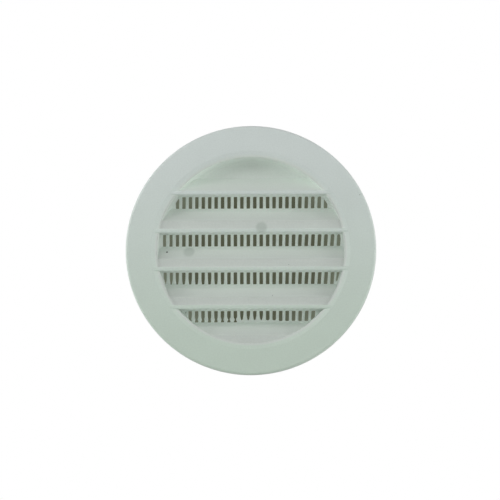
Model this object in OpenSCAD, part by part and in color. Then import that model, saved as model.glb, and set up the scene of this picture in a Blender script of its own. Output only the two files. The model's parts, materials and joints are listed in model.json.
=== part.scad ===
// Round vent grille, moulded in one piece: a flange that lies against the wall, a short
// spigot that enters the duct, and fixed weather louvres with an insect screen of slots
// moulded across the gaps behind them.
//
// Frame: +Z is up, the front faces -Y and +X is to the right. The origin is on the axis,
// in the plane of the wall that the flange's rim rests on. Depths are measured from the
// flange's front face towards the duct.

/* [Flange] */
// Outer diameter of the flange
flange_d = 150; // [142:1:200]
// Distance from the flange's front face to the wall
flange_h = 4.5; // [3.6:0.1:10]
// Width of the rim that rests on the wall
rim_w = 2; // [1.6:0.1:4]
// Radius along the rim's front edge
rim_r = 1.5; // [0.5:0.1:1.5]
// Radius in the corner between the rim and the back of the flange
rim_root_r = 0.8; // [0.3:0.1:1.2]

/* [Spigot] */
// Outer diameter of the spigot
spigot_d = 115; // [110:0.5:118]
// Length of the spigot behind the plane of the wall
spigot_l = 25; // [14:1:80]
// Lead-in chamfer around the end of the spigot
spigot_chamfer = 0.8; // [0.3:0.1:1.2]
// Radius of the rounded edge from the flange's front face into the bore
mouth_r = 4.2; // [3.2:0.1:5]

/* [Walls] */
// Thickness of every moulded wall
wall = 2; // [1.6:0.1:2.4]

/* [Louvres] */
// Number of drip lips, each with one row of slots below it
rows = 4; // [2:1:4]
// Distance from one drip lip to the next
row_pitch = 23; // [20.5:0.1:24]
// Height of the middle of all the lips above the axis
lip_offset = 0.4; // [-2:0.1:2]
// Diameter of the rounded drip lip
lip_d = 2.4; // [1.8:0.1:3]
// Depth of the lip's front below the flange's front face
lip_depth = 0.25; // [0.1:0.05:1]
// Depth of the slotted screen's front
screen_depth = 14; // [8:0.1:16]
// Height over which each blade slopes from the screen forward to its crease
blade_rise = 8.8; // [6:0.1:9]
// Depth of the small step at the crease, where the slope meets the upright face
crease_step = 0.35; // [0.1:0.05:0.8]
// Radius in the corner between the bore and the screen
cove_r = 2; // [1:0.1:3]

/* [Insect screen] */
// Height of a slot
slot_h = 7; // [4:0.1:7.4]
// Width of a slot
slot_w = 2.2; // [1.2:0.1:2.8]
// Distance from one slot to the next
slot_pitch = 3.9; // [3.4:0.1:6]
// Plain land between a slot and the blades above and below it
slot_land = 0.1; // [0.05:0.05:0.5]
// Gap between the slots' clipped ends and the bore
slot_margin = 0.3; // [0.1:0.1:1]

/* [Hidden] */
$fn = 96;

// Overshoot of a cut past the solid, and bite of one solid into the next
over = 1;
bite = 0.05;

flange_r = flange_d / 2;
spigot_r = spigot_d / 2;
bore_r = spigot_r - wall;
spigot_end = flange_h + spigot_l;
mouth_edge_r = bore_r + mouth_r;

lip_r = lip_d / 2;
// The blades' upright faces stand at the depth of the lips' centres
face_depth = lip_depth + lip_r;
screen_back = screen_depth + wall;
window_h = slot_h + 2 * slot_land;
slot_reach = bore_r - slot_margin;

// Slots left and right of the axis that the widest row holds
slot_half_count = floor(slot_reach / slot_pitch + 0.5);

// Height of the middle of lip k, counted from the top
function lip_z(k) = lip_offset + ((rows - 1) / 2 - k) * row_pitch;

// Height of the bottom and of the top of the window under lip k
function window_top(k) = lip_z(k) - lip_r;
function window_bottom(k) = window_top(k) - window_h;

// Blade k slopes from its high edge at the screen to its low edge in front. Blade 0 ends
// on the first lip, and each other one at the crease under the window above it.
function low_z(k) = k == 0 ? lip_z(0) + lip_r : window_bottom(k - 1) - blade_rise;
function low_depth(k) = k == 0 ? face_depth : face_depth + crease_step;
function blade_run(k) = screen_depth - low_depth(k);

// Height of blade k's front surface at a depth, and of its rear surface, one wall behind
function blade_front_z(k, depth) =
    low_z(k) + (depth - low_depth(k)) * blade_rise / blade_run(k);
function blade_back_z(k, depth) =
    blade_front_z(k, depth) - wall * norm([blade_rise, blade_run(k)]) / blade_run(k);

// Depth at which blade k's rear surface reaches a height
function blade_back_depth(k, z) =
    low_depth(k) + (z - blade_back_z(k, low_depth(k))) * blade_run(k) / blade_rise;

// Height in window k that is still open along the slot's edge nearest the axis
function open_height(k, inner_x) =
    let (limit = sqrt(max(0, pow(slot_reach, 2) - pow(inner_x, 2))))
    min(window_top(k), limit) - max(window_bottom(k), -limit);

// Outline of the open space in front of the louvres, as [depth, height] points
function front_outline() = concat(
    [[-over, -flange_r], [-over, flange_r], [screen_depth + over, flange_r]],
    [for (k = [0:rows]) each concat(
        [[screen_depth + over, blade_front_z(k, screen_depth + over)],
         [low_depth(k), low_z(k)]],
        k == 0 ? [] : [[face_depth, low_z(k)]],
        k == rows ? [] : [[face_depth, window_top(k)],
                          [screen_depth + over, window_top(k)]])],
    [[face_depth, -flange_r]]);

// Outline of the groove behind blade k, down to the shelf of the lip below it
function groove_outline(k) =
    let (
        floor_z = k == rows ? -flange_r : window_top(k) + wall,
        front = face_depth + wall,
        tip = max(front, blade_back_depth(k, floor_z)),
        back = screen_back + over
    )
    concat(
        [[tip, floor_z], [back, floor_z], [back, blade_back_z(k, back)]],
        tip > front ? [] : [[front, blade_back_z(k, front)]]);

// What a fillet of radius r takes from a square corner, or adds to it. The corner is at
// p, the fillet's centre lies in the direction toward, and the piece runs past the corner.
module fillet_offcut(p, r, toward) {
    translate(p)
        mirror([toward[0] < 0 ? 1 : 0, 0])
            mirror([0, toward[1] < 0 ? 1 : 0])
                difference() {
                    translate([-bite, -bite])
                        square(r + bite);
                    translate([r, r])
                        circle(r);
                }
}

// Turns a [radius, depth] profile about the axis, with depth 0 on the front face
module around_axis() {
    translate([0, -flange_h, 0])
        rotate([-90, 0, 0])
            rotate_extrude()
                children();
}

// Carries a [depth, height] profile along X, across the whole flange
module across() {
    translate([-flange_r, -flange_h, 0])
        rotate([90, 0, 90])
            linear_extrude(height = flange_d)
                children();
}

// Section of the flange and the spigot
module shell_profile() {
    difference() {
        union() {
            difference() {
                translate([bore_r, 0])
                    square([flange_r - bore_r, flange_h]);
                translate([spigot_r, wall])
                    square([flange_r - rim_w - spigot_r, flange_h]);
            }
            translate([bore_r, 0])
                square([wall, spigot_end]);
            fillet_offcut([spigot_r, wall], mouth_r - wall, [1, 1]);
            fillet_offcut([flange_r - rim_w, wall], rim_root_r, [-1, 1]);
        }
        fillet_offcut([bore_r, 0], mouth_r, [1, 1]);
        fillet_offcut([flange_r, 0], rim_r, [-1, 1]);
        polygon([
            [spigot_r - spigot_chamfer, spigot_end],
            [spigot_r + over, spigot_end + over],
            [spigot_r + over, spigot_end - spigot_chamfer - over],
            [spigot_r, spigot_end - spigot_chamfer]
        ]);
    }
}

// Section of the plug that the louvres are cut from. It follows the mouth and the bore
// at half a wall inside their surface.
module plug_profile() {
    difference() {
        square([mouth_edge_r, screen_back]);
        translate([mouth_edge_r, mouth_r])
            circle(mouth_r - wall / 2);
        translate([bore_r + wall / 2, mouth_r])
            square([mouth_r, screen_back]);
    }
}

// Section of the space that the louvres are open in: a bore that ends on the screen with
// a coved corner
module well_profile() {
    difference() {
        translate([0, -over])
            square([flange_r, screen_depth + over]);
        translate([bore_r, screen_depth - cove_r])
            square([flange_r, cove_r + over]);
        fillet_offcut([bore_r + bite, screen_depth], cove_r, [-1, -1]);
    }
}

// Slots of the insect screen, cut straight through. A slot that the bore would cut down
// to less than half its height is left out.
module slots() {
    translate([0, -flange_h + screen_back + over, 0])
        rotate([90, 0, 0])
            linear_extrude(height = wall + cove_r + over)
                intersection() {
                    circle(slot_reach);
                    for (k = [0:rows - 1], side = [-1, 1], i = [0:slot_half_count - 1])
                        let (x = (i + 0.5) * slot_pitch)
                        if (open_height(k, x - slot_w / 2) > slot_h / 2)
                            translate([side * x, window_top(k) - window_h / 2])
                                square([slot_w, slot_h], center = true);
                }
}

// Blades, lips, shelves and screen as one corrugated wall
module louvres() {
    difference() {
        around_axis()
            plug_profile();
        intersection() {
            around_axis()
                well_profile();
            across()
                difference() {
                    polygon(front_outline());
                    for (k = [0:rows - 1])
                        translate([face_depth, lip_z(k)])
                            circle(lip_r);
                }
        }
        across()
            for (k = [0:rows])
                polygon(groove_outline(k));
        slots();
    }
}

module vent_grille() {
    color([0.74, 0.78, 0.75])
        union() {
            around_axis()
                shell_profile();
            louvres();
        }
}

vent_grille();
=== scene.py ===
# %% [markdown]
# # A round vent grille
# This lesson builds the grille that covers the outside end of a ventilation duct. The real
# one is a single plastic moulding: a flat flange that lies on the wall, a short spigot that
# goes into the duct, and a recess with sloped blades. Each blade ends in a rounded drip
# lip, and under each lip a row of upright slots keeps insects out.
#
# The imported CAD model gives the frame: +Z is up, the front faces -Y, and the origin is on
# the axis in the plane of the wall. Everything below is in metres.

# %% Load the frame
import json

import bmesh
import bpy
import numpy as np
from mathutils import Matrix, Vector


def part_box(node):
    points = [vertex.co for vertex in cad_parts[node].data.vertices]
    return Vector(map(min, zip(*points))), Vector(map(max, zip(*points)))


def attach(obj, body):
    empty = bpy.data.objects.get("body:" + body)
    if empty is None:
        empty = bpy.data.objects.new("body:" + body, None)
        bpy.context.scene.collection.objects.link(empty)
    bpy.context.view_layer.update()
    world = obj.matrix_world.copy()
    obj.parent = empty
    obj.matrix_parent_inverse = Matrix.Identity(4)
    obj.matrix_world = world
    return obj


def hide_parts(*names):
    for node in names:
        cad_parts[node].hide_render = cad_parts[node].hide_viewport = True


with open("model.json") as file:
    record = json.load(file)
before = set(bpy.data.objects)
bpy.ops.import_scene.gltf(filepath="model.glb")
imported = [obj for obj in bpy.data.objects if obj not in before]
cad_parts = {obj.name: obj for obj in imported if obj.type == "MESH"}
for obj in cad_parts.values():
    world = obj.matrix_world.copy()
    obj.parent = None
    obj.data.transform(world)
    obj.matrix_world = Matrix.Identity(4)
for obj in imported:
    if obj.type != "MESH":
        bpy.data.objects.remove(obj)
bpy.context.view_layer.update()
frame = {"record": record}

# %% [markdown]
# ## Sizes
# The frame already holds the overall sizes, so they are read from it: the box gives the
# flange and the depths, and the spigot's mount gives its radius. Most of the other sizes
# are the same as in the CAD model, because the new surface has to lie where the old one
# does. A few go closer to the photograph than the CAD does: the mouth is a shallow cone,
# the bore widens a little towards it, and the shelves aren't quite level. Depths are
# measured from the flange's front face.

# %% Sizes
MM = 0.001
low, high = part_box("vent_grille")
flange_r = high.x
flange_h = -low.y
spigot_end = high.y - low.y
spigot = next(m for m in frame["record"]["mounts"] if m["name"] == "spigot")
spigot_r = spigot["dims"]["r_mm"] * MM

wall = 2 * MM
rim_w = 2 * MM
bore_r = spigot_r - wall
mouth_w = 4.2 * MM
mouth_edge_r = bore_r + mouth_w
mouth_depth = 1.4 * MM
bore_draft = 0.5 * MM
lip_drop = 0.4 * MM
back_rise = 0.4 * MM

rows = 4
row_pitch = 23 * MM
lip_offset = 0.4 * MM
lip_r = 1.2 * MM
lip_depth = 0.25 * MM
face_depth = lip_depth + lip_r
screen_depth = 14 * MM
screen_back = screen_depth + wall
window_h = 7.2 * MM
blade_rise = 8.8 * MM
crease_step = 0.35 * MM
cove_r = 2 * MM

lip_z = lip_offset + ((rows - 1) / 2 - np.arange(rows)) * row_pitch
window_top = lip_z - lip_r
window_bottom = window_top - window_h
print(f"flange {2e3 * flange_r:.1f} mm across, {rows} lips at heights", (lip_z / MM).round(2), "mm")

# %% [markdown]
# ## Corners that a mould can make
# No edge of a moulding is perfectly sharp. The smallest edges here are rounded by a
# quarter of a millimetre, which is enough to catch a thin line of light. So every outline
# is written as a list of corners with a radius for each one, and one function turns them
# into arcs. It works on all the corners at once, as arrays.

# %% Rounded outlines
MERGE = 1e-7


def rounded(corners, steps=6):
    """Closed outline with an arc at each corner, from rows of (u, v, radius).

    With unit vectors a and b towards the neighbouring corners and the angle between them
    equal to phi, the arc's centre lies at radius / sin(phi / 2) along the bisector, and the
    arc touches the sides at radius / tan(phi / 2) from the corner. Its points are the
    spherical blend of the two touching radii over the angle pi - phi.
    """
    table = np.array(corners, float)
    point, radius = table[:, :2], table[:, 2:]
    before = np.roll(point, 1, axis=0) - point
    after = np.roll(point, -1, axis=0) - point
    a = before / np.linalg.norm(before, axis=1, keepdims=True)
    b = after / np.linalg.norm(after, axis=1, keepdims=True)
    phi = np.arccos(np.clip((a * b).sum(1, keepdims=True), -1, 1))
    middle = (a + b) / np.linalg.norm(a + b, axis=1, keepdims=True)
    centre = point + middle * radius / np.sin(phi / 2)
    start = point + a * radius / np.tan(phi / 2) - centre
    end = point + b * radius / np.tan(phi / 2) - centre
    turn = (np.pi - phi)[:, None, :]
    k = np.linspace(0, 1, steps + 1)[None, :, None]
    blend = (np.sin((1 - k) * turn) * start[:, None] + np.sin(k * turn) * end[:, None])
    outline = (centre[:, None] + blend / np.sin(turn)).reshape(-1, 2)
    step = np.linalg.norm(np.roll(outline, -1, axis=0) - outline, axis=1)
    return outline[step > MERGE / 10]


# %% [markdown]
# ## From arrays to a mesh
# Every surface in this file is a grid of points, so one function makes the faces for all
# of them. A grid can close on itself along its rows, as a lathed shape does around its
# axis, and along its columns, as a closed outline does.

# %% Grid to mesh
def grid_quads(n_rows, n_columns):
    """Corner numbers of the quads of a grid whose columns wrap round, row by row."""
    i, j = np.meshgrid(np.arange(n_rows - 1), np.arange(n_columns), indexing="ij")
    k = (j + 1) % n_columns
    quad = np.stack([i * n_columns + j, i * n_columns + k,
                     (i + 1) * n_columns + k, (i + 1) * n_columns + j], axis=-1)
    return quad.reshape(-1, 4)


def add_object(name, points, faces):
    """New mesh object from an array of points and a list of faces, doubles merged."""
    mesh = bpy.data.meshes.new(name)
    mesh.from_pydata(points.reshape(-1, 3).tolist(), [], faces)
    piece = bpy.data.objects.new(name, mesh)
    bpy.context.scene.collection.objects.link(piece)
    tidy(piece)
    return piece


def tidy(piece):
    """Merges points that lie on each other and turns all the faces outwards."""
    work = bmesh.new()
    work.from_mesh(piece.data)
    bmesh.ops.remove_doubles(work, verts=work.verts, dist=MERGE)
    wires = [e for e in work.edges if not e.link_faces]
    bmesh.ops.delete(work, geom=wires, context="EDGES")
    bmesh.ops.recalc_face_normals(work, faces=work.faces)
    work.to_mesh(piece.data)
    work.free()


# %% [markdown]
# ## Turning and drawing
# Two ways of carrying an outline make all the solids here. A lathe turns a (radius, depth)
# outline about the spigot's axis, which is how the flange and the spigot are described on
# a drawing. A draw pulls a (depth, height) outline sideways along X, which suits the
# blades, because they have the same section from one side of the recess to the other.

# %% Lathe and draw
TURNS = 288


def lathe(name, outline):
    """Solid of revolution: x = r cos a, z = r sin a, y = depth - flange_h, for each outline
    point (r, depth) and each of TURNS equal angles a. Points on the axis become one pole."""
    closed = np.vstack([outline, outline[:1]])
    angle = np.linspace(0, 2 * np.pi, TURNS, endpoint=False)
    r, depth = closed[:, :1], closed[:, 1:]
    points = np.stack([r * np.cos(angle), depth - flange_h + 0 * angle, r * np.sin(angle)], axis=-1)
    return add_object(name, points, grid_quads(len(closed), TURNS).tolist())


def draw(name, outline, half_width):
    """Bar with the same (depth, height) outline at x = -half_width and x = +half_width."""
    n = len(outline)
    x = np.array([[-half_width], [half_width]])
    points = np.stack([x + 0 * outline[:, 0], outline[:, 0] - flange_h + 0 * x,
                       outline[:, 1] + 0 * x], axis=-1)
    caps = [list(range(n)), list(range(n, 2 * n))]
    return add_object(name, points, grid_quads(2, n).tolist() + caps)


# %% [markdown]
# ## Flange and spigot
# The flange is a flat ring whose front edge turns back to the wall. Behind it the moulding
# is hollow, so that no part is much thicker than two millimetres, because a thick part
# would sink in as it cooled. The mouth is a shallow cone that leads from the flange's face
# into the bore. The bore is widest at the mouth, by the small draft that lets a moulding
# slide off its mould, and the spigot ends in a lead-in chamfer. One lathed outline gives
# all of that.

# %% Lathe the flange and spigot
edge = 0.25 * MM
rim_r = 1.5 * MM
rim_root_r = 0.8 * MM
chamfer = 0.8 * MM
mouth_edge = 1 * MM
bore_edge = 0.8 * MM
root_r = mouth_w - wall


def bore_at(depth):
    """Radius of the bore at a depth: widest at the mouth, by the draft, and straight."""
    return bore_r + bore_draft * (spigot_end - depth) / (spigot_end - mouth_depth)


shell = lathe("grille", rounded([
    (bore_at(mouth_depth), mouth_depth, bore_edge),
    (mouth_edge_r, 0, mouth_edge),
    (flange_r, 0, rim_r),
    (flange_r, flange_h, edge),
    (flange_r - rim_w, flange_h, edge),
    (flange_r - rim_w, wall, rim_root_r),
    (spigot_r, wall, root_r),
    (spigot_r, spigot_end - chamfer, edge),
    (spigot_r - chamfer, spigot_end, edge),
    (bore_r, spigot_end, edge),
]))
print("shell:", len(shell.data.polygons), "faces")

# %% [markdown]
# ## Blades, lips and screen
# The blades are one corrugated wall. Seen from the side it runs down from the screen along
# a slope, over a rounded drip lip, back to the screen along a nearly level shelf, and again
# down the next slope. It is made as a mould makes it: a round plug is the plastic, one
# drawn block takes away the space in front of the wall, and other drawn blocks take away
# the grooves behind it. The front block is first cut to a round well, so that the corner
# between bore and screen keeps its cove.

# %% Section of the space in front
over = 1 * MM
crease_r = 0.15 * MM
lip_back_r, lip_top_r, lip_under_r = 0.28 * lip_r, 0.7 * lip_r, 0.65 * lip_r
shelf_draft = (lip_drop + back_rise) / (screen_depth - lip_depth)
lip_top = lip_z + lip_r - lip_drop
front = [(-over, flange_r, 0), (screen_depth + over, flange_r, 0)]
low_z = np.concatenate([[lip_z[0] + lip_r], window_bottom - blade_rise])
low_depth = np.where(np.arange(rows + 1) == 0, face_depth, face_depth + crease_step)
slope = blade_rise / (screen_depth - low_depth)


def blade_z(k, depth):
    """Height of blade k's front surface at a depth: a straight line through its low edge."""
    return low_z[k] + (depth - low_depth[k]) * slope[k]


def shelf_z(k, depth):
    """Height of the underside of shelf k at a depth: level, but for a moulding's small draft."""
    return window_top[k] - lip_drop + (depth - lip_depth) * shelf_draft


for k in range(rows + 1):
    front.append((screen_depth + over, blade_z(k, screen_depth + over), 0))
    if k > 0:
        front.append((low_depth[k], low_z[k], crease_r))
        front.append((face_depth, low_z[k], crease_r))
    if k < rows:
        front.append((face_depth, lip_top[k], lip_back_r))
        front.append((lip_depth, lip_top[k], lip_top_r))
        front.append((lip_depth, shelf_z(k, lip_depth), lip_under_r))
        front.append((screen_depth + over, shelf_z(k, screen_depth + over), 0))
front.append((face_depth, -flange_r, 0))
front.append((-over, -flange_r, 0))
print("front section:", len(front), "corners")


# %% Cut the corrugated wall from a plug
def combine(piece, tool, operation):
    """Joins or cuts two closed solids with a Boolean modifier, and applies it."""
    modifier = piece.modifiers.new("join", "BOOLEAN")
    modifier.object = tool
    modifier.operation = operation
    modifier.solver = "MANIFOLD"
    bpy.context.view_layer.update()
    evaluated = piece.evaluated_get(bpy.context.evaluated_depsgraph_get())
    result = bpy.data.meshes.new_from_object(evaluated)
    piece.modifiers.clear()
    piece.data = result
    bpy.data.objects.remove(tool)
    return piece


bite = wall / 2
tight = cove_r - 1e-6
plug = lathe("plug", rounded([
    (0, 0, 0),
    (mouth_edge_r, 0, 0),
    (mouth_edge_r, bite, 0),
    (bore_r + bite, mouth_depth + bite, 0),
    (bore_r + bite, screen_back, 0),
    (0, screen_back, 0),
]))
well = lathe("well", rounded([
    (0, -over, 0),
    (flange_r, -over, 0),
    (flange_r, screen_depth - cove_r, 0),
    (bore_at(screen_depth - cove_r), screen_depth - cove_r, 0),
    (bore_at(screen_depth), screen_depth, tight),
    (0, screen_depth, 0),
]))
space = combine(draw("space", rounded(front), flange_r), well, "INTERSECT")
blades = combine(plug, space, "DIFFERENCE")

for k in range(rows + 1):
    back_drop = wall * np.hypot(1, slope[k])
    groove_floor = window_top[k] + wall if k < rows else -flange_r
    front_of_groove = face_depth + wall
    meets_floor = low_depth[k] + (groove_floor + back_drop - low_z[k]) / slope[k]
    tip = max(front_of_groove, meets_floor)
    back = screen_back + over
    groove = [(tip, groove_floor, crease_r), (back, groove_floor, 0),
              (back, blade_z(k, back) - back_drop, 0)]
    if tip == front_of_groove:
        groove.append((tip, blade_z(k, tip) - back_drop, crease_r))
    blades = combine(blades, draw("groove", rounded(groove), flange_r), "DIFFERENCE")
print("blades:", len(blades.data.polygons), "faces")

# %% [markdown]
# ## The insect screen
# Each slot is a small tool that the screen is cut with. First come the places: a column of
# slots every few millimetres, the same in all rows. A circle just inside the bore ends the
# outer slots. On this piece it lies half a millimetre left of the axis. A slot that it
# would cut down to less than half its height is left out. All the slots are handled as one
# array, with one entry for each slot.

# %% Lay out the slots
slot_h = 7 * MM
slot_w = 2.2 * MM
slot_pitch = 3.9 * MM
slot_reach = bore_r - 0.55 * MM
screen_x = -0.5 * MM

half_count = int(slot_reach / slot_pitch + 0.5)
column_x = (np.arange(-half_count, half_count) + 0.5) * slot_pitch
row_of, x_of = (a.ravel() for a in np.meshgrid(np.arange(rows), column_x, indexing="ij"))
inner = np.abs(x_of - screen_x) - slot_w / 2
limit = np.sqrt(slot_reach ** 2 - inner ** 2)
open_h = np.minimum(window_top[row_of], limit) - np.maximum(window_bottom[row_of], -limit)
kept = open_h > slot_h / 2
row_of, x_of, limit = row_of[kept], x_of[kept], limit[kept]
middle_z = window_top[row_of] - window_h / 2
top_z = np.minimum(middle_z + slot_h / 2 + back_rise * (row_of < rows - 1), limit)
bottom_z = np.maximum(middle_z - slot_h / 2, -limit)
print("slots in each row:", np.bincount(row_of))

# %% [markdown]
# ## Signs of a worn mould
# The slots of the real screen aren't all alike. Towards the right they lean, and their tops
# are rounder. At the left the third row narrows downwards, and the lowest row is pinched
# above its lower ends, most of all near the middle. From there to the right a thin film of
# plastic, which a moulder calls flash, closes the lower ends of the lowest row. Each of
# these signs is a smooth function of the slot's place across the screen, which runs from -1
# at the left to 1 at the right. Pinches and films are shares of a slot's own size.


# %% Shape of each slot
ROW_LEAN = np.array([0.3, 0.55, 0.6, 0.4]) * MM
THIN_FILM, EXTRA_FILM = 0.1, 0.07
LOW_PINCH, EXTRA_PINCH = 0.28, 0.32
WAIST = 0.74


def smooth(low, high, value):
    """Smooth step from 0 at low to 1 at high: 3 t^2 - 2 t^3, with t the share of the way."""
    t = np.clip((value - low) / (high - low), 0, 1)
    return t * t * (3 - 2 * t)


across = x_of / bore_r
third, lowest = row_of == 2, row_of == 3
lean = ROW_LEAN[row_of] * smooth(0, 0.9, across)
half_w = slot_w / 2 * (1 - 0.12 * smooth(-0.7, -0.95, across))
top_corner = (0.35 + 0.4 * smooth(0, 0.6, across) * (row_of < 2)) * MM

filmed = lowest * smooth(-0.17, -0.13, across) * smooth(0.64, 0.6, across)
film = filmed * (THIN_FILM + EXTRA_FILM * smooth(0.28, 0.25, across))

tapered = 0.25 * smooth(-0.1, -0.45, across) + 0.2 * smooth(-0.55, -0.9, across)
pinched = (LOW_PINCH + EXTRA_PINCH * smooth(-0.4, -0.2, across)) * smooth(-0.13, -0.16, across)
pointed = 0.5 * filmed * smooth(0.16, 0.12, across)
pinch = np.where(third, tapered, np.where(lowest, pinched + pointed, 0))
pinch_at = np.where(third | (film > 0), 1, WAIST)
pinch_spread = np.where(third, 0.3, np.where(film > 0, 0.4, 0.14))
nudge = third * (0.5 * smooth(-0.8, -0.95, across) - 0.4 * smooth(0.85, 0.95, across)) * MM
bottom_corner = (0.35 + 3.5 * film) * MM
bottom_z = bottom_z + film * (top_z - bottom_z)
print("slots with a film:", int((film > 0.05).sum()), "and with a pinch:", int((pinch > 0.05).sum()))

# %% [markdown]
# ## Cutting tools for the slots
# A tool's outline goes down its right side and up its left side. Each side is the middle
# line plus or minus a half width, kept inside the circle that ends the slots. Both sides
# are drawn in at the ends, which rounds the corners. The tool is wider where it enters the
# screen, by the radius of the bars' edges. So all the tools together are one array: slot,
# depth and outline point.

# %% Cut the slots
DOWN = 24
bar_edge = 0.3 * MM
sliver = 0.05 * MM

v = (1 - np.cos(np.linspace(0, np.pi, DOWN))) / 2
height = (top_z - bottom_z)[:, None]
z_side = top_z[:, None] - v * height
circle_x = np.sqrt(np.maximum(slot_reach ** 2 - z_side ** 2, 0))
middle_x = (x_of + nudge)[:, None] + lean[:, None] * (0.5 - v)
waist = np.exp(-((v - pinch_at[:, None]) / pinch_spread[:, None]) ** 2)
half = half_w[:, None] * (1 - pinch[:, None] * waist)
left_end, right_end = screen_x - circle_x, screen_x + circle_x
x_right = np.clip(middle_x + half, left_end + sliver, right_end)
x_left = np.clip(middle_x - half, left_end, right_end - sliver)
corner = np.where(v < 0.5, top_corner[:, None], bottom_corner[:, None])
from_end = np.minimum(v, 1 - v) * height
inset = corner - np.sqrt(corner ** 2 - np.maximum(corner - from_end, 0) ** 2)
inset = np.minimum(inset, 0.4 * (x_right - x_left))
outline_x = np.concatenate([x_right - inset, (x_left + inset)[:, ::-1]], axis=1)
outline_z = np.concatenate([z_side, z_side[:, ::-1]], axis=1)
outward = np.concatenate([np.ones(DOWN), -np.ones(DOWN)])

into = np.linspace(0, bar_edge, 5)
station = np.concatenate([[screen_depth - cove_r - over], screen_depth + into, [screen_back + over]])
flare = bar_edge - np.sqrt(bar_edge ** 2 - (bar_edge - into) ** 2)
flare = np.concatenate([[bar_edge], flare, [0]])

n_slots, n_points = outline_x.shape
tool_x = outline_x[:, None, :] + flare[None, :, None] * outward
tool_y = np.broadcast_to((station - flange_h)[None, :, None], tool_x.shape)
tool_z = np.broadcast_to(outline_z[:, None, :], tool_x.shape)
tool = np.stack([tool_x, tool_y, tool_z], axis=-1)

side = grid_quads(len(station), n_points)
first = (np.arange(n_slots) * len(station) * n_points)[:, None, None]
faces = (side[None] + first).reshape(-1, 4).tolist()
ring = np.arange(n_points) + first[:, 0]
faces += ring.tolist() + (ring + (len(station) - 1) * n_points).tolist()
blades = combine(blades, add_object("slots", tool, faces), "DIFFERENCE")
grille = combine(shell, blades, "UNION")
tidy(grille)
print("grille:", len(grille.data.polygons), "faces")

# %% [markdown]
# ## Smooth shading
# The arcs are made of small flat faces. Smooth shading blends them, except across edges
# that turn by more than the angle of a real corner. The weighted normals then lean towards
# the large flat faces, which keeps them flat right up to their rounded edges.

# %% Shade it smooth
grille.data.shade_smooth()
grille.data.set_sharp_from_angle(angle=np.radians(35))
weighted = grille.modifiers.new("even shading", "WEIGHTED_NORMAL")
weighted.keep_sharp = True
print("grille:", len(grille.data.vertices), "points after the cuts")

# %% [markdown]
# ## Sums with sockets
# A shader is a network of nodes, and a sum such as 1 - mask needs a node for each sign. To
# write such sums as ordinary Python, one small class holds an output socket and answers
# the operators by adding Math nodes. One method adds any other kind of node.


# %% A socket that can be added and multiplied
class Shade:
    """An output socket of a node tree, with Python's operators as Math nodes."""

    def __init__(self, tree, socket=None):
        self.tree = tree
        self.socket = socket

    def node(self, kind, inputs, settings=None, output=0):
        """Adds a node: its settings first, then a number or a link for each named input."""
        new = self.tree.nodes.new(kind)
        for name, setting in (settings or {}).items():
            setattr(new, name, setting)
        for name, value in inputs.items():
            if isinstance(value, Shade):
                self.tree.links.new(value.socket, new.inputs[name])
            else:
                new.inputs[name].default_value = value
        return Shade(self.tree, new.outputs[output])

    def other(self, output):
        """Another output of the node that this socket belongs to."""
        return Shade(self.tree, self.socket.node.outputs[output])

    def math(self, operation, *values):
        return self.node("ShaderNodeMath", dict(enumerate(values)), {"operation": operation})

    def step(self, low, high):
        """Smooth step of this value, from 0 at low to 1 at high."""
        span = {"Value": self, "From Min": low, "From Max": high, "To Min": 0.0, "To Max": 1.0}
        return self.node("ShaderNodeMapRange", span, {"interpolation_type": "SMOOTHSTEP"})

    def stretched(self, factors):
        """This vector with each of its parts multiplied by its own factor."""
        return self.node("ShaderNodeVectorMath", {0: self, 1: factors}, {"operation": "MULTIPLY"})

    def noise(self, scale, detail=2.0):
        """Noise from 0 to 1 at this place, with scale bumps to the metre."""
        return self.node("ShaderNodeTexNoise", {"Vector": self, "Scale": scale, "Detail": detail})

    def mix(self, first, second):
        """Colour that goes from first to second as this value goes from 0 to 1."""
        return self.node("ShaderNodeMix", {0: self, 6: first, 7: second}, {"data_type": "RGBA"}, 2)

    def __add__(self, value):
        return self.math("ADD", self, value)

    def __sub__(self, value):
        return self.math("SUBTRACT", self, value)

    def __rsub__(self, value):
        return self.math("SUBTRACT", value, self)

    def __mul__(self, value):
        return self.math("MULTIPLY", self, value)

    __radd__ = __add__
    __rmul__ = __mul__


# %% [markdown]
# ## The plastic
# The grille is moulded in a pale plastic with a faint green cast, and the imported record
# holds its colour. A real moulding is never quite even: it is lighter and darker in soft
# clouds, and finely speckled from the mould's matt surface. Sheltered places are painted
# lighter than the open flange, as painted bounce light: the Ambient Occlusion node says how
# much of the sky a point sees past the piece's own walls. In the recess the blades' upright
# faces, the ends of the blades and the wall of the bore are painted a little darker, as
# painted shade, and the deepest parts a little lighter, as painted light. All of these make
# one number, the tone, and the colour goes with it from a dim to a light version. The open
# flange is also greener at the bottom and cooler at the top. The pattern is laid out on
# Object coordinates, which are metres here, so it stays on the piece from every side.

# %% Colour of the plastic
DIMMEST, LIGHTEST = 0.8, 1.4
CLOUDS, SPECKLE, PAINTED_BOUNCE = 0.08, 0.14, 0.41
SHADE_RECESS, SHADE_FACE, SHADE_WALL, SHADE_ENDS = 0.05, 0.03, 0.06, 0.12
PAINTED_LIGHT_DEEP = 0.09
GREENER = (0.915, 0.993, 0.925)
COOLER = (1.005, 1.015, 1.05)

plastic = bpy.data.materials.new("moulded_plastic")
plastic.use_nodes = True
tree = plastic.node_tree
shader = Shade(tree, tree.nodes["Principled BSDF"].outputs[0])
place = Shade(tree).node("ShaderNodeTexCoord", {}, output="Object")
x = place.node("ShaderNodeSeparateXYZ", {0: place})
y, z = x.other(1), x.other(2)

plain = np.array(frame["record"]["materials"][0]["base_color"])
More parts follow.
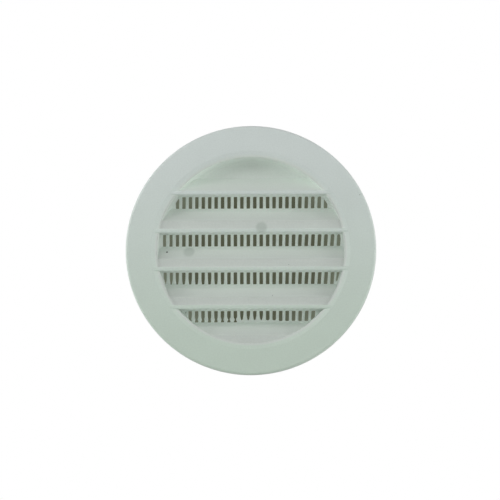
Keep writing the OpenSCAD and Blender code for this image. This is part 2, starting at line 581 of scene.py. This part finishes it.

# %% Tone by place, with painted light and shade
clouds = place.noise(45.0) - 0.5
speckle = place.noise(1100.0, 3.0) - 0.5
# Painted bounce light: the less sky a point sees past the piece's own walls, the lighter its colour.
open_sky = place.node("ShaderNodeAmbientOcclusion", {"Distance": 30 * MM},
                      {"samples": 16, "only_local": True}, "AO")
painted_bounce = 1 - open_sky
depth = y + flange_h
# Painted light and shade in the recess: the whole recess is painted a little darker and its deepest
# parts lighter, and the blades' upright faces, their ends, the bore wall and the wall above the lips
# are painted darker still.
inside = depth.step(face_depth - 0.5 * MM, face_depth - 0.1 * MM)
on_face = inside * depth.step(low_depth[1], face_depth + 0.05 * MM)
recess = inside * z.step(38 * MM, 30 * MM)
off_axis = place.node("ShaderNodeVectorMath", {0: place.stretched((1, 0, 1))},
                      {"operation": "LENGTH"}, "Value")
ends = recess * z.step(-42 * MM, -34 * MM)
blade_ends = ends * off_axis.step(40 * MM, 56 * MM)
bore_wall = ends * off_axis.step(54 * MM, 55.4 * MM)
deep = depth.step(8 * MM, 13 * MM)
above_lips = inside * z.step(36 * MM, 38.5 * MM) * z.step(49 * MM, 44 * MM)
upper_wall = above_lips * off_axis.step(53 * MM, 55 * MM)
painted_shade = (SHADE_FACE * on_face + SHADE_WALL * (bore_wall + upper_wall)
          + blade_ends * (SHADE_ENDS - 0.05 * on_face))
light_and_shade_by_place = recess * (PAINTED_LIGHT_DEEP * deep - SHADE_RECESS) - painted_shade
# The tone is random clouds and speckle, plus the painted bounce light and the painted light and
# shade by place.
tone = 1.0 + CLOUDS * clouds + SPECKLE * speckle + PAINTED_BOUNCE * painted_bounce + light_and_shade_by_place
share = (tone - DIMMEST) * (1 / (LIGHTEST - DIMMEST))
print("tone by place:", len(tree.nodes), "nodes so far")


# %% Tint of the open flange
def toned(tint):
    """The plastic's colour at every tone, with its red, green and blue changed by a tint."""
    dimmest, lightest = DIMMEST * plain * tint, LIGHTEST * plain * tint
    return share.mix((*dimmest, 1), (*lightest, 1))


# Greener towards the bottom and cooler towards the top, on the front surfaces only.
tinted_by_height = z.step(-flange_r, flange_r).mix(toned(GREENER), toned(COOLER))
front_surface = depth.step(1.3 * MM, 0.5 * MM)
colour = front_surface.mix(toned((1, 1, 1)), tinted_by_height)
print("lightest:", (LIGHTEST * plain).round(2))

# %% [markdown]
# ## Marks
# Two faint round marks show on the blades, about six millimetres across. They look like the
# ends of the pins that pushed the moulding out of its mould, so they are round seen along
# the depth of the recess, also where the blade slopes. There are some tiny dark specks too.
# Each mask falls from 1 to 0 as the distance from the middle grows, and fades a little way
# behind the front surface, so that nothing shows on the back of the blade.


# %% Round marks and specks
def disc(centre, radius, blur, tilt=0.0):
    """Mask of a mark that is round seen along Y, on a surface with y = tilt * z + constant."""
    flat = {0: place.stretched((1, 0, 1)), 1: (centre[0], 0, centre[2])}
    gap = place.node("ShaderNodeVectorMath", flat, {"operation": "DISTANCE"}, "Value")
    behind = y - centre[1] - tilt * (z - centre[2])
    return gap.step(radius + blur, radius) * behind.step(2.5 * MM, 1 * MM)


MARK = (0.40, 0.46, 0.415, 1)
SPECK = (0.06, 0.07, 0.055, 1)
MARK_R = 2.2 * MM
MARK_BLUR = 2.1 * MM
SPECK_BLUR = 0.35 * MM
blade_tilt = 1 / slope[2]
face_mark = disc((6.4 * MM, -3.05 * MM, 13.4 * MM), MARK_R, MARK_BLUR)
slope_mark = disc((-37.4 * MM, 4.2 * MM, -0.4 * MM), MARK_R, MARK_BLUR, blade_tilt)
colour = (0.66 * face_mark + 0.48 * slope_mark).mix(colour, MARK)
# Each speck's x, y, z and radius in millimetres, its strength, and the surface's tilt
specks = [
    (-50.7, 4.1, -0.4, 0.40, 1.0, blade_tilt),
    (65.3, -4.5, 32.7, 0.15, 0.5, 0),
    (22.7, -3.05, -9.0, 0.15, 0.4, 0),
    (12.9, -1.5, -27.4, 0.15, 0.5, blade_tilt),
    (-39.6, 9.45, -36.6, 0.20, 0.6, 0),
]
for *centre, radius, strength, tilt in specks:
    mask = disc([c * MM for c in centre], radius * MM, SPECK_BLUR, tilt)
    colour = (strength * mask).mix(colour, SPECK)
print("round marks: 2, specks:", len(specks))

# %% [markdown]
# ## Grain and tool marks
# The mould's surface leaves a fine grain, and the cutter that made the mould leaves faint
# lines along the blades. Both are heights of a few thousandths of a millimetre, too small
# for the mesh, so a Bump node turns them into normals. The grain also changes the roughness
# a little, which keeps the soft gloss from looking like glass.

# %% Finish of the plastic
GRAIN_SCALE = 2600.0
LINES_SCALE = (40.0, 500.0, 1500.0)
RELIEF = 0.03 * MM
ROUGH, ROUGH_CHANGE = 0.46, 0.14

grain = place.noise(GRAIN_SCALE, 2.0)
tool_lines = place.stretched(LINES_SCALE).noise(1.0, 1.0)
height_map = grain + 0.8 * tool_lines * depth.step(1 * MM, 1.5 * MM)
bump = place.node("ShaderNodeBump", {"Strength": 0.35, "Distance": RELIEF, "Height": height_map})
roughness = ROUGH + ROUGH_CHANGE * (grain - 0.5)
for name, value in (("Base Color", colour), ("Roughness", roughness), ("Normal", bump)):
    tree.links.new(value.socket, shader.socket.node.inputs[name])
grille.data.materials.clear()
grille.data.materials.append(plastic)
print("plastic:", len(tree.nodes), "nodes")

# %% [markdown]
# ## Part of the frame
# The new mesh stands for the CAD node of the grille, which stays in the physics model. It
# rides on the only body, and takes its finish from the record's material slot.

# %% Tie it to the frame
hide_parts("vent_grille")
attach(grille, "root")

# %% [markdown]
# ## Camera
# The grille was photographed from a little below and a touch to the right, with a long
# lens, so its circles are nearly true circles. The lens is set so that the flange fills as
# much of the picture as it does in the photograph.

# %% Camera
camera_data = bpy.data.cameras.new("camera")
camera = bpy.data.objects.new("camera", camera_data)
bpy.context.scene.collection.objects.link(camera)
bpy.context.scene.camera = camera
distance = 1.5
below, aside = np.radians(7), np.radians(2)
camera_data.sensor_width = 36
camera_data.lens = 180.4
forward = Vector((-np.sin(aside) * np.cos(below), np.cos(aside) * np.cos(below), np.sin(below)))
aim = Vector((-0.49 * MM, 2.5 * MM - flange_h, -0.05 * MM))
camera.location = aim - distance * forward
camera.rotation_euler = forward.to_track_quat("-Z", "Y").to_euler()
print("camera at", camera.location.to_tuple(3))

# %% [markdown]
# ## Floor and the dark of the duct
# The floor is a plain pale sheet below the grille. It lies low enough to stay out of the
# picture, sends light back up and takes the grille's shadow. Behind the screen of a fitted
# grille lies the dark duct. A disc stands for it here, just behind the slots: it glows with a
# fixed colour, painted shade for the duct's dark inside, and it is painted a little lighter
# towards its rim, as painted light on the duct's wall. It is seen only by the camera and only
# from the front, so it shades nothing and hides nothing from behind.

# %% Stage
def stage_grid(name, points):
    """Stage piece from an array of points laid out in rows and columns."""
    n_rows, n_columns = points.shape[:2]
    k = np.arange(n_rows * n_columns).reshape(n_rows, n_columns)
    quads = np.stack([k[:-1, :-1], k[:-1, 1:], k[1:, 1:], k[1:, :-1]], axis=-1).reshape(-1, 4)
    mesh = bpy.data.meshes.new(name)
    mesh.from_pydata(points.reshape(-1, 3).tolist(), [], quads.tolist())
    piece = bpy.data.objects.new(name, mesh)
    bpy.context.scene.collection.objects.link(piece)
    material = bpy.data.materials.new(name)
    material.use_nodes = True
    mesh.materials.append(material)
    return material


FLOOR_COLOUR = (0.84, 0.87, 0.84, 1)
floor_z = -0.3
floor_half = 2.5
corners = floor_half * np.linspace(-1, 1, 2)
floor_points = np.stack(np.broadcast_arrays(corners[None, :], corners[:, None], floor_z), axis=-1)
floor = stage_grid("floor", floor_points)
floor_shader = floor.node_tree.nodes["Principled BSDF"]
floor_shader.inputs["Base Color"].default_value = FLOOR_COLOUR
floor_shader.inputs["Roughness"].default_value = 0.8
print("floor at", floor_z, "m")

# %% Painted shade of the duct
DUCT_PAINTED_SHADE = (0.082, 0.089, 0.058, 1)
DUCT_RIM_PAINTED_LIGHT = (0.145, 0.165, 0.12, 1)
duct_r = bore_r - 0.1 * MM
duct_y = screen_back + 2 * MM - flange_h
ring_r = np.linspace(0.001, 1, 3)[:, None] * duct_r
ring_a = np.linspace(2 * np.pi, 0, 97)[None, :]
duct_points = np.stack(np.broadcast_arrays(
    ring_r * np.cos(ring_a), duct_y, ring_r * np.sin(ring_a)), axis=-1)
duct = stage_grid("duct_painted_shade", duct_points)
duct_tree = duct.node_tree
seen = Shade(duct_tree).node("ShaderNodeLightPath", {}, output="Is Camera Ray")
from_behind = seen.node("ShaderNodeNewGeometry", {}, output="Backfacing")
on_disc = seen.node("ShaderNodeTexCoord", {}, output="Object").stretched((1, 0, 1))
off_centre = on_disc.node("ShaderNodeVectorMath", {0: on_disc}, {"operation": "LENGTH"}, "Value")
# Painted light: lighter towards the rim, where light falls on the duct's wall.
duct_colour = off_centre.step(38 * MM, 58 * MM).mix(DUCT_PAINTED_SHADE, DUCT_RIM_PAINTED_LIGHT)
dark = seen.node("ShaderNodeEmission", {"Color": duct_colour})
clear = seen.node("ShaderNodeBsdfTransparent", {})
duct_end = seen.node("ShaderNodeMixShader", {0: seen * (1 - from_behind), 1: clear, 2: dark})
duct_tree.links.new(duct_end.socket, duct_tree.nodes["Material Output"].inputs["Surface"])
print("dark disc at", round(duct_y / MM, 2), "mm")

# %% [markdown]
# ## World and lamps
# The photograph has a pure white background and soft light from the front. The camera and
# the gloss of the plastic see a white world, while the light that it gives is set apart from
# that and comes softly from both sides. Round lamps do the rest. One stands at each side, a
# low one lights the undersides, and two near ones above the front make the upper blades a
# little brighter than the lower ones. Together they give a level at which the plastic
# renders about as bright as its colour says. The Standard view shows the colours as they
# are, with no film curve.

# %% World
FROM_LEFT, FROM_RIGHT = 1.25, 0.64
bpy.context.scene.view_settings.view_transform = "Standard"
world = bpy.data.worlds.new("studio")
bpy.context.scene.world = world
world.use_nodes = True
sky = world.node_tree
white = sky.nodes["Background"]
white.inputs["Color"].default_value = (1, 1, 1, 1)
white.inputs["Strength"].default_value = 1
path = Shade(sky).node("ShaderNodeLightPath", {}, output="Is Camera Ray")
shown = path.math("MAXIMUM", path, path.math("MAXIMUM", path.other("Is Glossy Ray"),
                                             path.other("Is Transmission Ray")))
towards = path.node("ShaderNodeTexCoord", {}, output="Generated")
sideways = towards.node("ShaderNodeSeparateXYZ", {0: towards})
from_left = FROM_LEFT * path.math("MAXIMUM", 0 - sideways, 0.0)
from_right = FROM_RIGHT * path.math("MAXIMUM", sideways, 0.0)
soft_light = {"Color": (1, 1, 1, 1), "Strength": from_left + from_right}
glow = path.node("ShaderNodeBackground", soft_light)
both = path.node("ShaderNodeMixShader", {0: shown, 1: glow, 2: Shade(sky, white.outputs[0])})
sky.links.new(both.socket, sky.nodes["World Output"].inputs["Surface"])
print("world:", len(sky.nodes), "nodes")

# %% Lamps
LAMP_SPREAD = 0.45


def lamp(name, elevation, azimuth, distance, watts, tint=(1, 1, 1)):
    """Round lamp at two angles in degrees, seen from the grille: up, and right of the front."""
    data = bpy.data.lights.new(name, "AREA")
    data.shape = "DISK"
    data.size = LAMP_SPREAD * distance
    data.energy = watts
    data.color = tint
    light = bpy.data.objects.new(name, data)
    up, right = np.radians(elevation), np.radians(azimuth)
    away = Vector((np.sin(right) * np.cos(up), -np.cos(right) * np.cos(up), np.sin(up)))
    light.location = distance * away
    light.rotation_euler = away.to_track_quat("Z", "Y").to_euler()
    bpy.context.scene.collection.objects.link(light)


lamp("side_lamp_left", 5, -75, 1.1, 2.9)
lamp("side_lamp_right", 5, 75, 1.1, 4.3)
lamp("low_lamp", -20, 0, 1.1, 1.2, (0.87, 1, 0.91))
lamp("near_lamp_left", 30, -40, 0.36, 0.185, (1, 0.98, 1))
lamp("near_lamp_right", 30, 40, 0.36, 0.105, (1, 0.95, 1))
print("lamps:", len(bpy.data.lights))
